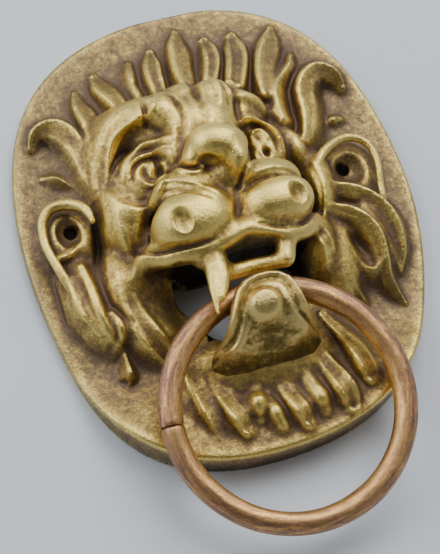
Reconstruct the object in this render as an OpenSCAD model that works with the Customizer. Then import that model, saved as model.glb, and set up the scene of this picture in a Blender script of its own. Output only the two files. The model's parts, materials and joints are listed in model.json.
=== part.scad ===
// Lion-mask door knocker: one hollow cast mask, its lower jaw and a bent-rod ring.
// Millimetres. The mask lies on its back: +Z points out of the door, +Y to the top of the
// head, +X to the viewer's right. The origin is midway between the two fixing screw holes,
// on the plane of the door.

/* [Plate] */
// Height of the plate, top to bottom
plate_h = 169; // [165:1:176]
// Width of the plate
plate_w = 138; // [134:1:146]
// Thickness of the plate's edge along the top and sides
edge_h = 4.5; // [3.5:0.5:6]
// Height of the plate's edge at the bottom, where the ring rests
strike_h = 13.5; // [12:0.5:13.5]
// Thickness of the casting over the hollow back, along Z
wall_t = 4; // [3:0.5:4.5]
// Width of the wall round the hollow back
back_rim = 7; // [6:0.5:9]

/* [Face] */
// Height of the nose above the door
nose_h = 46; // [44:1:48]
// Half width of a hair lock
lock_w = 3.4; // [2.8:0.1:4]

/* [Fixing holes] */
// Distance between the two screw holes
hole_spacing = 98; // [96:1:100]
// Diameter of a screw hole
hole_d = 4.5; // [3.5:0.1:5]

/* [Jaw] */
// Width of the jaw across its foot
jaw_w = 27; // [24:1:28]
// Height of the jaw's front above the door
jaw_front = 36.5; // [35.5:0.5:38]
// Diameter of the boss on the jaw
boss_d = 12; // [9:1:14]

/* [Ring] */
// Diameter of the ring, rod centre to rod centre
ring_d = 79.4; // [78:0.2:80]
// Diameter of the rod
rod_d = 8.3; // [7:0.1:8.3]
// Angle that the ring drops below the plane of the door at rest, in degrees
rest_angle = 9.5; // [8:0.5:9.5]
// Gap at the butt joint
butt_gap = 0.5; // [0.2:0.1:1.2]

/* [Hidden] */

// Centre of the plate, and of the polar grid that carries the relief
mid = [0, -13.2];
columns = 90;
rings = 26;
back_rings = 13;
// Depth that the casting is first drawn below the door's plane, then cut flat
over = 1;
tall = 60;

// Centre of the rod where it lies behind the jaw: the hinge line runs along X
hinge = [2.2, -43, 25.5];
// Angle round the ring, from +X, at which the two ends of the rod meet
butt_angle = 177;

// Centre and length of the jaw's outline, its back face, and the flat seat of its foot
jaw_mid = [2, -56];
jaw_len = 32;
jaw_back = 32;
foot_y = -58;
seat_z = 11.5;
seat_play = 0.05;

// Outline of the open mouth
mouth = [
    [-25, -27], [-19, -29.5], [-11, -31], [-4, -30], [3, -27.5], [10, -29], [18, -32], [25, -30],
    [27, -34], [25, -41], [21, -48], [14, -54], [-10, -54], [-15, -48], [-20, -41], [-25, -33],
];

// Upper teeth and the bridge between them: [start, end, start radius, end radius]
teeth = [
    [[-9, -28, 32], [-12, -39, 35.5], 3.4, 2],
    [[-12, -39, 35.5], [-13.5, -49, 36], 2, 0.8],
    [[17, -28, 33], [16.5, -36.5, 31], 3.2, 2.2],
    [[-10.5, -34, 32.5], [2, -36, 28], 2.2, 2.2],
    [[2, -36, 28], [16.5, -36, 30.5], 2.2, 2.2],
];

brass = [0.62, 0.52, 0.28];
jaw_brass = [0.55, 0.48, 0.24];
copper = [0.60, 0.38, 0.24];

function ease(t) = let(u = min(1, max(0, t))) u * u * (3 - 2 * u);
function mix(a, b, t) = a + (b - a) * t;

// Outline of the plate: distance from mid at angle a, where 0 points to the top of the head.
// The hand-made pattern isn't quite symmetrical. It is drawn outline_w by outline_h, then
// scaled to plate_w by plate_h.
outline_w = 138;
outline_h = 169;
function outline(a) =
    78.1 + 2.8 * cos(a) + 8.6 * cos(2 * a) - 1.6 * cos(4 * a) - 0.8 * cos(6 * a)
    + 2.0 * sin(a) + 1.3 * sin(2 * a) - 0.5 * sin(3 * a) + 0.6 * sin(4 * a);

// Height of the plain plate: low at the top and sides, swept forward at the bottom
function plate_z(p) = edge_h + (strike_h - edge_h) * ease((-48 - p[1]) / 35);

// Rounded masses: [x, y, half width, half height, turn, height at the edge, height at the top]
masses = [
    [1, 8, 39, 39, 0, 2, 25],          // skull
    [4, 31, 23, 15, 0, 12, 30],        // forehead
    [-13, 28, 12, 9, 20, 20, 33],      // left brow
    [19, 26, 11, 8, -25, 19, 31],      // right brow
    [3, 22, 9, 19, 0, 22, 37],         // bridge of the nose
    [3, 4, 14, 14, 0, 26, nose_h],     // nose
    [-13, -15, 18, 14, 10, 20, 42],    // left muzzle
    [17, -15, 16, 13, -5, 20, 41],     // right muzzle
    [-29, -10, 12, 19, 10, 8, 27],     // left cheek
    [33, -10, 10, 17, -10, 8, 25],     // right cheek
    [-32, -36, 16, 18, 0, 2, 18],      // left jowl
    [34, -36, 14, 17, 0, 2, 16],       // right jowl
    [-49, -4, 13, 15, 0, 2, 12],       // left ear
    [50, -4, 13, 15, 0, 2, 12],        // right ear
    [-46, -33, 9, 24, 8, 2, 15],       // left side mane
    [49, -30, 9, 22, -8, 2, 13],       // right side mane
    [0, -67, 32, 19, 0, 4, 18],        // beard
    [1, -42, 34, 24, 0, 8, 17],        // floor of the mouth
];

// Hollows pressed into the masses: [x, y, half width, half height, depth]
hollows = [
    [-21, 12, 12, 9, 7],
    [22, 11, 9, 9, 6],
    [-50.5, -1.5, 7, 8, 6],
    [51, -1.5, 7, 8, 6],
];

// Ridges: half width, then the points of the crest with their heights
ridges = [
    // eyelids
    [2.2, [-26.5, 11.5, 19], [-21, 16.5, 23], [-11, 14.5, 24]],
    [2.2, [15.5, 17, 24], [22, 18.5, 24], [26.5, 9, 21]],
    // upper lip
    [3.4, [-36, -20, 22], [-20, -25, 32], [-5, -26, 36], [3, -23.5, 37], [12, -26.5, 35], [30, -24, 26]],
    // ears
    [3.0, [-40, 3, 17], [-48, 8, 15], [-57, 6, 13], [-59, -3, 13], [-56, -17, 12], [-52, -28, 14]],
    [3.0, [37, 0, 19], [44, 6, 17], [52, 8.5, 15], [60, 5, 13], [60, -6, 13], [57.5, -17, 12], [59, -26, 10]],
    // upper mane, left to right
    [lock_w, [-37, 12, 14], [-36, 27, 13], [-41, 37, 12], [-48, 40, 9], [-52.5, 37, 6]],
    [lock_w, [-32, 17, 16], [-29, 31, 14], [-33, 42, 10], [-33, 51, 6]],
    [lock_w, [-19, 38, 17], [-23, 49, 12], [-25, 55, 6]],
    [lock_w, [-12, 40, 17], [-13, 50, 11], [-12, 58, 6]],
    [lock_w, [-4, 40, 18], [-5, 50, 13], [-3, 60, 7]],
    [lock_w, [4, 41, 19], [4, 53, 13], [6, 66, 6]],
    [lock_w, [11, 39, 19], [15, 51, 13], [16, 61, 7]],
    [lock_w, [22, 36, 19], [28, 49, 13], [25, 60, 7]],
    [lock_w, [29, 27, 19], [34, 40, 14], [40, 50, 10], [40, 58, 6]],
    [lock_w, [36, 12, 17], [43, 24, 14], [44, 34, 12], [52, 39, 10], [58, 35, 6]],
    // side mane
    [lock_w, [-46, -20, 15], [-49, -33, 17], [-50, -45, 15]],
    [lock_w, [-40, -24, 19], [-44, -40, 19], [-43, -56, 11]],
    [lock_w, [43, -12, 16], [53, -14, 14], [59, -26, 11], [57, -40, 8]],
    [lock_w, [41, -22, 15], [51, -30, 13], [53, -50, 9]],
    // beard
    [lock_w, [28, -52, 14], [30, -65, 15], [33, -76, 14]],
    [lock_w, [19, -62, 16], [23, -76, 18], [24, -84, 16]],
    [lock_w, [11, -68, 18], [13, -78, 19], [13, -86, 16]],
    [lock_w, [1, -71, 18], [3, -80, 19], [5, -89, 16]],
    [lock_w, [-7, -70, 18], [-8, -80, 19], [-8, -87, 16]],
    [lock_w, [-15, -66, 18], [-15, -79, 19], [-15, -87, 16]],
    [lock_w, [-22, -60, 17], [-24, -74, 18], [-24, -84, 15]],
    [lock_w, [-31, -48, 15], [-34, -58, 15], [-32, -70, 13]],
];

function turned(p, a) = [p[0] * cos(a) + p[1] * sin(a), p[1] * cos(a) - p[0] * sin(a)];

// Height of one rounded mass over point p, or 0 outside it
function mass_z(p, m) =
    let(q = turned([p[0] - m[0], p[1] - m[1]], m[4]))
    let(d = pow(q[0] / m[2], 2) + pow(q[1] / m[3], 2))
    d >= 1 ? 0 : m[5] + (m[6] - m[5]) * sqrt(1 - d);

function hollow_z(p, h) =
    let(d = pow((p[0] - h[0]) / h[2], 2) + pow((p[1] - h[1]) / h[3], 2))
    h[4] * exp(-d * d);

// Height of one stretch of a ridge: a parabola across, lerped along
function stretch_z(p, a, b, w) =
    let(e = [b[0] - a[0], b[1] - a[1]])
    let(t = min(1, max(0, ((p[0] - a[0]) * e[0] + (p[1] - a[1]) * e[1]) / (e * e))))
    let(d = norm([p[0] - a[0] - t * e[0], p[1] - a[1] - t * e[1]]))
    d > 1.6 * w ? 0 : mix(a[2], b[2], t) - 4.5 * pow(d / w, 2);

function ridge_z(p, r) = max([for (i = [1:len(r) - 2]) stretch_z(p, r[i], r[i + 1], r[0])]);

function body_z(p) =
    max([for (m = masses) mass_z(p, m)]) - max([for (h = hollows) hollow_z(p, h)]);

function front_z(p) = max(plate_z(p), body_z(p), max([for (r = ridges) ridge_z(p, r)]));

// Hollow back: smaller masses that stay a wall's thickness inside the front
cores = [
    [1, 8, 35, 35, 0, -2, 22],
    [4, 31, 18, 11, 0, 8, 27],
    [3, 8, 9, 10, 0, 18, 38],
    [-13, -14, 14, 10, 10, 12, 37],
    [17, -14, 12, 9, -5, 12, 36],
    [-27, -10, 12, 17, 10, 0, 23],
    [29, -10, 11, 16, -10, 0, 22],
    [-31, -36, 12, 15, 0, -2, 15],
    [33, -36, 11, 14, 0, -2, 13],
    [0, -40, 30, 24, 0, -2, 13],
];

function core_z(p) =
    min(max(plate_z(p) - 1, max([for (m = cores) mass_z(p, m)])) - wall_t, front_z(p) - wall_t);

function at(t, a, inset = 0) =
    let(r = (outline(a) - inset) * t)
    [mid[0] + r * sin(a) * plate_w / outline_w, mid[1] + r * cos(a) * plate_h / outline_h];

// One ring of grid points: front rings run outwards, back rings run inwards
function front_ring(i) =
    [for (j = [0:columns - 1]) let(p = at(i / rings, j * 360 / columns)) [p[0], p[1], front_z(p)]];

function back_ring(i) =
    [for (j = [0:columns - 1])
        let(p = at(i / back_rings, j * 360 / columns, back_rim))
        [p[0], p[1], i == back_rings ? -over : max(-over, core_z(p))]];

function flat_ring() =
    [for (j = [0:columns - 1]) let(p = at(1, j * 360 / columns)) [p[0], p[1], -over]];

function quads(i) =
    [for (j = [0:columns - 1])
        let(k = (j + 1) % columns)
        each [
            [i * columns + j, (i + 1) * columns + j, (i + 1) * columns + k],
            [i * columns + j, (i + 1) * columns + k, i * columns + k],
        ]];

// The cast shell as drawn, before its mouth and screw holes are cut
module shell() {
    front = [for (i = [1:rings]) each front_ring(i)];
    back = [for (i = [back_rings:-1:1]) each back_ring(i)];
    rows = rings + 1 + back_rings;
    tips = [[mid[0], mid[1], front_z(mid)], [mid[0], mid[1], core_z(mid)]];
    tip = rows * columns;
    last = tip - columns;
    faces = concat(
        [for (i = [0:rows - 2]) each quads(i)],
        [for (j = [0:columns - 1]) [tip, j, (j + 1) % columns]],
        [for (j = [0:columns - 1]) [tip + 1, last + (j + 1) % columns, last + j]]
    );
    polyhedron(concat(front, flat_ring(), back, tips), faces, convexity = 10);
}

// Outline of the jaw seen from the front, an egg wider at its foot
function jaw_outline(grow) =
    [for (a = [0:7.5:359])
        let(half = jaw_w / 2 - 0.8 * sin(a))
        [jaw_mid[0] + (half + grow) * cos(a), jaw_mid[1] + (jaw_len / 2 + grow) * sin(a)]];

// Side view of the jaw as [y, z]: a hook that rises from its foot and bends up past the ring
jaw_side = [
    [foot_y, seat_z], [foot_y, 22], [-57, 26], [-54.5, 30], [-51, jaw_back], [-39, jaw_back],
    [-39, jaw_front - 2.5], [-41, jaw_front - 0.5], [-45, jaw_front], [-53, jaw_front],
    [-58, jaw_front - 3.5], [-62, 28], [-66, 22.5], [-73, 19], [-73, seat_z],
];

// One stretch of a tooth: a tapered rod with round ends
module tooth(t) {
    hull() {
        translate(t[0]) sphere(r = t[2], $fn = 20);
        translate(t[1]) sphere(r = t[3], $fn = 20);
    }
}

// Pocket that the jaw's foot stands in
module seat() {
    intersection() {
        translate([0, 0, seat_z]) linear_extrude(tall) polygon(jaw_outline(seat_play));
        translate([-tall, foot_y + seat_play - tall, 0]) cube([2 * tall, tall, tall]);
    }
}

module lion_mask() {
    color(brass) {
        difference() {
            shell();
            translate([-2 * tall, -2 * tall - 10, -tall]) cube([4 * tall, 4 * tall, tall]);
            translate([0, 0, -over]) linear_extrude(tall) polygon(mouth);
            seat();
            for (side = [-1, 1])
                translate([side * hole_spacing / 2, 0, -over]) cylinder(h = tall, d = hole_d, $fn = 48);
        }
        for (t = teeth) tooth(t);
    }
}

module lower_jaw() {
    color(jaw_brass) {
        intersection() {
            linear_extrude(tall) polygon(jaw_outline(0));
            rotate([90, 0, 90]) translate([0, 0, -tall / 2]) linear_extrude(tall) polygon(jaw_side);
        }
        translate([jaw_mid[0] - 1, -53.5, jaw_front - 1.5]) sphere(d = boss_d, $fn = 48);
    }
}

module ring() {
    gap_turn = butt_gap / (PI * ring_d) * 360;
    color(copper)
        translate(hinge)
            rotate([rest_angle, 0, 0])
                translate([0, -ring_d / 2, 0])
                    rotate([0, 0, butt_angle])
                        rotate_extrude(angle = 360 - gap_turn, $fn = 120)
                            translate([ring_d / 2, 0]) circle(d = rod_d, $fn = 48);
}

lion_mask();
lower_jaw();
ring();
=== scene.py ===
"""Lion-mask door knocker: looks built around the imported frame. Shapes are in millimetres in the
part's own frame (+Z out of the door, +Y up the face, origin midway between the screw holes)."""

import json

import bpy
import numpy as np
import openvdb
from mathutils import Matrix, Vector


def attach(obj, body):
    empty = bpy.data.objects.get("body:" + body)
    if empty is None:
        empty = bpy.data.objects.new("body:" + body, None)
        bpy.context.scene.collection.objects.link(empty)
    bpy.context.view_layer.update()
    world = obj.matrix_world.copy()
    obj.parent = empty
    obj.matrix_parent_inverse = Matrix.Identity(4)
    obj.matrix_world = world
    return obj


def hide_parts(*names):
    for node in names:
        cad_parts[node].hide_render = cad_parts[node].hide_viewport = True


MM = 0.001
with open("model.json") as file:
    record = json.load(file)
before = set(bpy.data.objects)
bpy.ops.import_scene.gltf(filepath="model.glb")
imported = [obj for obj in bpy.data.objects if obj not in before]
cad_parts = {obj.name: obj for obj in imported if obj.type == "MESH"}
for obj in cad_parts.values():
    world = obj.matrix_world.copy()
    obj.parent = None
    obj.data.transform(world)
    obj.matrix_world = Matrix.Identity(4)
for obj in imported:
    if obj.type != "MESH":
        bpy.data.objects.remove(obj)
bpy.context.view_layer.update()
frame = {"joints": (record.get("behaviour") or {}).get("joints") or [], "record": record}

# ---------------------------------------------------------------- from the frame

HINGE = np.array(frame["joints"][0]["pos_m"]) / MM
SCREWS = frame["record"]["mounts"][0]["dims"]
SCREW_X = SCREWS["spacing_x_mm"] / 2
SCREW_R = SCREWS["hole_r_mm"]

# ---------------------------------------------------------------- camera, light and floor

# How far the part is turned in the view, in radians, and how far its +Z leans right and up in it
SPIN = 0.234
LEAN = (0.105, 0.385)
# Middle of the plate, and the camera's place from it: right, up and back. Width of the view
CENTRE = Vector((0, -13.25, 0))
STAND = Vector((1.11, -11.53, 1000))
VIEW_W = 151.724
SENSOR = 36

LAMP = 1.6
WORLD_COLOUR = (0.69, 0.71, 0.74, 1)
FLOOR_COLOUR = (0.80, 0.875, 0.96, 1)
FLOOR_Z = -0.0002


def link(name, data):
    obj = bpy.data.objects.new(name, data)
    bpy.context.collection.objects.link(obj)
    return obj


def view_axes():
    """Turns a direction given as right, up and back in the view into one of the part's."""
    towards = Vector((LEAN[0], LEAN[1], (1 - LEAN[0] ** 2 - LEAN[1] ** 2) ** 0.5))
    flat = Vector((np.cos(SPIN), np.sin(SPIN), 0))
    flat.z = -(flat.x * towards.x + flat.y * towards.y) / towards.z
    x_seen = flat.normalized()
    y_seen = towards.cross(x_seen)
    return Matrix((x_seen, y_seen, towards))


def make_camera():
    turn = view_axes()
    camera = bpy.data.cameras.new("camera")
    camera.sensor_fit = "HORIZONTAL"
    camera.sensor_width = SENSOR
    camera.lens = STAND.z / VIEW_W * SENSOR
    camera.clip_end = 10
    obj = link("camera", camera)
    obj.matrix_world = Matrix.Translation((CENTRE + turn @ STAND) * MM) @ turn.to_4x4()
    bpy.context.scene.camera = obj


def area_light(name, place, power, colour):
    """A square soft light that points at the part."""
    light = bpy.data.lights.new(name, "AREA")
    light.shape = "RECTANGLE"
    light.size = light.size_y = LAMP
    light.energy = power
    light.color = colour
    way = (-Vector(place)).to_track_quat("-Z", "Y")
    obj = link(name, light)
    obj.matrix_world = Matrix.Translation(place) @ way.to_matrix().to_4x4()


def make_world():
    world = bpy.data.worlds.new("studio")
    bpy.context.scene.world = world
    world.use_nodes = True
    tree = world.node_tree
    back = tree.nodes["Background"]
    back.inputs["Color"].default_value = WORLD_COLOUR
    # the studio is darker around the camera: the strength falls from 0.52 to 0.05 towards it
    place = tree.nodes.new("ShaderNodeTexCoord")
    facing = tree.nodes.new("ShaderNodeVectorMath")
    facing.operation = "DOT_PRODUCT"
    facing.inputs[1].default_value = view_axes() @ Vector((0, 0, 1))
    level = tree.nodes.new("ShaderNodeMapRange")
    for socket, value in zip(level.inputs, (0.0, 0.66, 0.94, 0.52, 0.05)):
        socket.default_value = value
    tree.links.new(place.outputs["Generated"], facing.inputs[0])
    tree.links.new(facing.outputs["Value"], level.inputs[0])
    tree.links.new(level.outputs[0], back.inputs["Strength"])


def make_floor():
    bpy.ops.mesh.primitive_plane_add(size=6)
    floor = bpy.context.object
    floor.name = "floor"
    floor.location.z = FLOOR_Z
    paper = bpy.data.materials.new("pale_paper")
    paper.use_nodes = True
    shader = paper.node_tree.nodes["Principled BSDF"]
    shader.inputs["Base Color"].default_value = FLOOR_COLOUR
    shader.inputs["Roughness"].default_value = 0.8
    floor.data.materials.append(paper)


# ---------------------------------------------------------------- modelling clay

# Size of a cell of clay in the mask and in the jaw, and the distance written far from the metal
MASK_PITCH, JAW_PITCH = 0.6, 0.5
FAR = 6.0
# A lock of hair falls from its crest to its edge by a fixed drop and a share of its half-width,
# and then slopes down to the surface below
LOCK_DROP, LOCK_SHARE, LOCK_SLOPE = 0.7, 0.85, 1.8

# Section of a lock of hair: place across from left (-1) to right (1), and the level there
FORMS = {
    "left": ([-1, -0.82, -0.58, -0.3, 0.2, 0.7, 1], [0, 0.7, 1, 0.84, 0.6, 0.42, 0]),
    "right": ([-1, -0.7, -0.2, 0.3, 0.58, 0.82, 1], [0, 0.42, 0.6, 0.84, 1, 0.7, 0]),
    "both": ([-1, -0.8, -0.58, -0.25, 0.15, 0.5, 0.78, 1], [0, 0.7, 1, 0.68, 0.62, 0.88, 0.66, 0]),
    "round": ([-1, -0.8, -0.5, -0.2, 0.2, 0.5, 0.8, 1], [0, 0.42, 0.8, 0.97, 0.97, 0.8, 0.42, 0]),
    "ridge": ([-1, -0.6, 0, 0.6, 1], [0, 0.5, 1, 0.5, 0]),
    "hood": ([-1, -0.7, -0.3, 0.2, 0.7, 0.9, 1], [0, 0.45, 0.75, 0.92, 1, 0.95, 0.4]),
}


def ease(t):
    u = np.clip(t, 0, 1)
    return u * u * (3 - 2 * u)


def smooth_min(a, b, blend):
    h = np.maximum(blend - np.abs(a - b), 0) / blend
    return np.minimum(a, b) - h * h * blend / 4


def curve_points(points, steps):
    """A smooth curve through rows of numbers, sampled along each span."""
    p = np.array(points, dtype=np.float32)
    p = np.vstack([2 * p[0] - p[1], p, 2 * p[-1] - p[-2]])
    out = []
    for i in range(1, len(p) - 2):
        for t in np.arange(0, 1, 1 / steps):
            a = 2 * p[i] + (p[i + 1] - p[i - 1]) * t
            b = (2 * p[i - 1] - 5 * p[i] + 4 * p[i + 1] - p[i + 2]) * t * t
            c = (3 * p[i] - p[i - 1] - 3 * p[i + 1] + p[i + 2]) * t * t * t
            out.append((a + b + c) / 2)
    out.append(p[-2])
    return np.array(out, dtype=np.float32)


class Clay:
    """A block of signed distances in millimetres, negative inside the metal."""

    def __init__(self, low, high, pitch):
        self.low = np.array(low, dtype=np.float32)
        self.pitch = pitch
        self.axes = [np.arange(a, b, pitch, dtype=np.float32) for a, b in zip(low, high)]
        self.d = np.full([len(a) for a in self.axes], FAR, dtype=np.float32)

    def grid(self):
        """x and y of the columns, and z of the cells in them."""
        x, y, z = self.axes
        return x[:, None], y[None, :], z[None, None, :]

    def window(self, low, high):
        """The cells in a box, and their x, y and z."""
        cut = []
        for k in range(3):
            i = max(int((low[k] - self.low[k]) / self.pitch), 0)
            j = min(int((high[k] - self.low[k]) / self.pitch) + 2, len(self.axes[k]))
            cut.append(slice(i, max(j, i)))
        x = self.axes[0][cut[0]][:, None, None]
        y = self.axes[1][cut[1]][None, :, None]
        z = self.axes[2][cut[2]][None, None, :]
        return tuple(cut), x, y, z

    def height(self, x, y):
        """Height of the front surface at a point."""
        i = int(np.rint((x - self.low[0]) / self.pitch))
        j = int(np.rint((y - self.low[1]) / self.pitch))
        column = self.d[i, j]
        k = len(column) - 1 - np.argmax(column[::-1] < 0)
        inside, outside = column[k], column[k + 1]
        return float(self.axes[2][k] + self.pitch * inside / (inside - outside))

    def add(self, shape, blend):
        low, high, distance = shape
        cut, x, y, z = self.window(np.array(low) - blend - 1, np.array(high) + blend + 1)
        self.d[cut] = smooth_min(self.d[cut], distance(x, y, z), blend)

    def cut(self, shape, blend):
        low, high, distance = shape
        cut, x, y, z = self.window(np.array(low) - blend - 1, np.array(high) + blend + 1)
        self.d[cut] = -smooth_min(-self.d[cut], distance(x, y, z), blend)

    def bore(self, hole, blend):
        """Cut away where a field over the whole block is negative."""
        self.d = -smooth_min(-self.d, hole, blend)

    def patch(self, path, margin):
        """The part of the block over a path of rows of four numbers. For each of its columns: how
        far it is from the path, the same with the side as its sign, and the path's last two
        numbers at the nearest place."""
        low = (*(path[:, :2].min(0) - margin), self.axes[2][0])
        high = (*(path[:, :2].max(0) + margin), self.axes[2][-1])
        cut, x, y, z = self.window(low, high)
        x, y = x[:, :, 0], y[:, :, 0]
        best = np.full(np.broadcast(x, y).shape, 1e9, dtype=np.float32)
        side, first, second = np.zeros_like(best), np.zeros_like(best), np.ones_like(best)
        for a, b in zip(path[:-1], path[1:]):
            ex, ey = b[0] - a[0], b[1] - a[1]
            t = np.clip(((x - a[0]) * ex + (y - a[1]) * ey) / max(ex * ex + ey * ey, 1e-6), 0, 1)
            dx, dy = x - a[0] - t * ex, y - a[1] - t * ey
            d = dx * dx + dy * dy
            closer = d < best
            best = np.where(closer, d, best)
            side = np.where(closer, ey * dx - ex * dy, side)
            first = np.where(closer, a[2] + (b[2] - a[2]) * t, first)
            second = np.where(closer, a[3] + (b[3] - a[3]) * t, second)
        best = np.sqrt(best)
        return cut, z, best, best * np.sign(side), first, np.maximum(second, 0.2)

    def emboss(self, kind, rows):
        """Raise a line on the surface, or sink it: rows of x, y, lift, half-width."""
        path = curve_points(rows, 4)
        cut, z, away, across, lift, width = self.patch(path, path[:, 3].max() + 1)
        u = away / width
        if kind == "round":
            f = np.clip(1 - u * u, 0, 1) ** 2
        elif kind == "crest":
            f = np.clip(1 - u, 0, 1) ** 1.4
        else:
            # a fold: the surface steps up to the line on one side and runs off on the other
            steep = across * (1 if kind == "fold_left" else -1) > 0
            f = np.where(steep, np.clip(1 - u * 3.2, 0, 1), np.clip(1 - u, 0, 1) ** 1.5)
        self.d[cut] -= (f * lift)[:, :, None].astype(np.float32)

    def leaf(self, blend, form, rows):
        """A flat lock of hair: rows of x, y, height, half-width, with one of the forms across."""
        path = curve_points(rows, 4)
        cut, z, away, across, top, width = self.patch(path, path[:, 3].max() + 2)
        level = np.interp(across / width, *FORMS[form])
        surface = top - (LOCK_DROP + LOCK_SHARE * width) * (1 - level)
        surface = surface - LOCK_SLOPE * np.maximum(away - width, 0)
        shape = (z - surface[:, :, None]) * 0.7
        self.d[cut] = smooth_min(self.d[cut], shape, blend).astype(np.float32)


def ball(centre, radii, turn, power=2.0):
    """An ellipsoid, turned about Z by so many degrees. A power over 2 makes it squarer."""
    cx, cy, cz = centre
    rx, ry, rz = radii
    c, s = np.cos(np.radians(turn)), np.sin(np.radians(turn))
    reach = max(rx, ry)

    def distance(x, y, z):
        u = np.abs((x - cx) * c + (y - cy) * s) / rx
        v = np.abs((y - cy) * c - (x - cx) * s) / ry
        w = np.abs(z - cz) / rz
        near = (u**power + v**power + w**power) ** (1 / power)
        steep = np.sqrt((u / rx) ** 2 + (v / ry) ** 2 + (w / rz) ** 2)
        return near * (near - 1) / np.maximum(steep, 1e-4)

    low = (cx - reach, cy - reach, cz - rz)
    high = (cx + reach, cy + reach, cz + rz)
    return low, high, distance


def strand(points):
    """A round rod of changing radius along a smooth curve: rows of x, y, z, radius."""
    p = curve_points(points, 5)
    widest = p[:, 3].max()

    def distance(x, y, z):
        best = np.float32(np.inf)
        for a, b in zip(p[:-1], p[1:]):
            e = b[:3] - a[:3]
            px, py, pz = x - a[0], y - a[1], z - a[2]
            t = np.clip((px * e[0] + py * e[1] + pz * e[2]) / max(float(e @ e), 1e-6), 0, 1)
            away = np.sqrt((px - t * e[0]) ** 2 + (py - t * e[1]) ** 2 + (pz - t * e[2]) ** 2)
            best = np.minimum(best, away - (a[3] + (b[3] - a[3]) * t))
        return best

    return p[:, :3].min(0) - widest, p[:, :3].max(0) + widest, distance


def rod(rows):
    """A strand from rows of x, y, height of its crest, radius."""
    return strand([(x, y, crest - r, r) for x, y, crest, r in rows])


def polygon_distance(points, x, y):
    """Signed distance to a closed outline, negative inside."""
    p = np.array(points, dtype=np.float32)
    best = np.full(np.broadcast(x, y).shape, 1e9, dtype=np.float32)
    inside = np.zeros(best.shape, dtype=bool)
    for a, b in zip(p, np.roll(p, -1, axis=0)):
        e = b - a
        t = np.clip(((x - a[0]) * e[0] + (y - a[1]) * e[1]) / (e @ e), 0, 1)
        best = np.minimum(best, np.hypot(x - a[0] - t * e[0], y - a[1] - t * e[1]))
        meets = a[0] + e[0] * (y - a[1]) / (e[1] if e[1] else 1e-9)
        inside ^= ((a[1] > y) != (b[1] > y)) & (x < meets)
    return np.where(inside, -best, best)


# ---------------------------------------------------------------- the mask's shapes

MASK_LOW, MASK_HIGH = (-69, -98, -3), (74.5, 73.5, 48.5)
# Middle of the plate, the height of its edge at the top and at the bottom, and the height on the
# face where the edge begins to rise, and over how much it does
MID_Y = -13.2
EDGE_H, STRIKE_H = 4.5, 13.5
SWEEP_Y, SWEEP_H = -48, 35
# Thickness of the casting, and width of the flat rim round its hollow back
WALL, BACK_RIM = 4.2, 7

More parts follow.
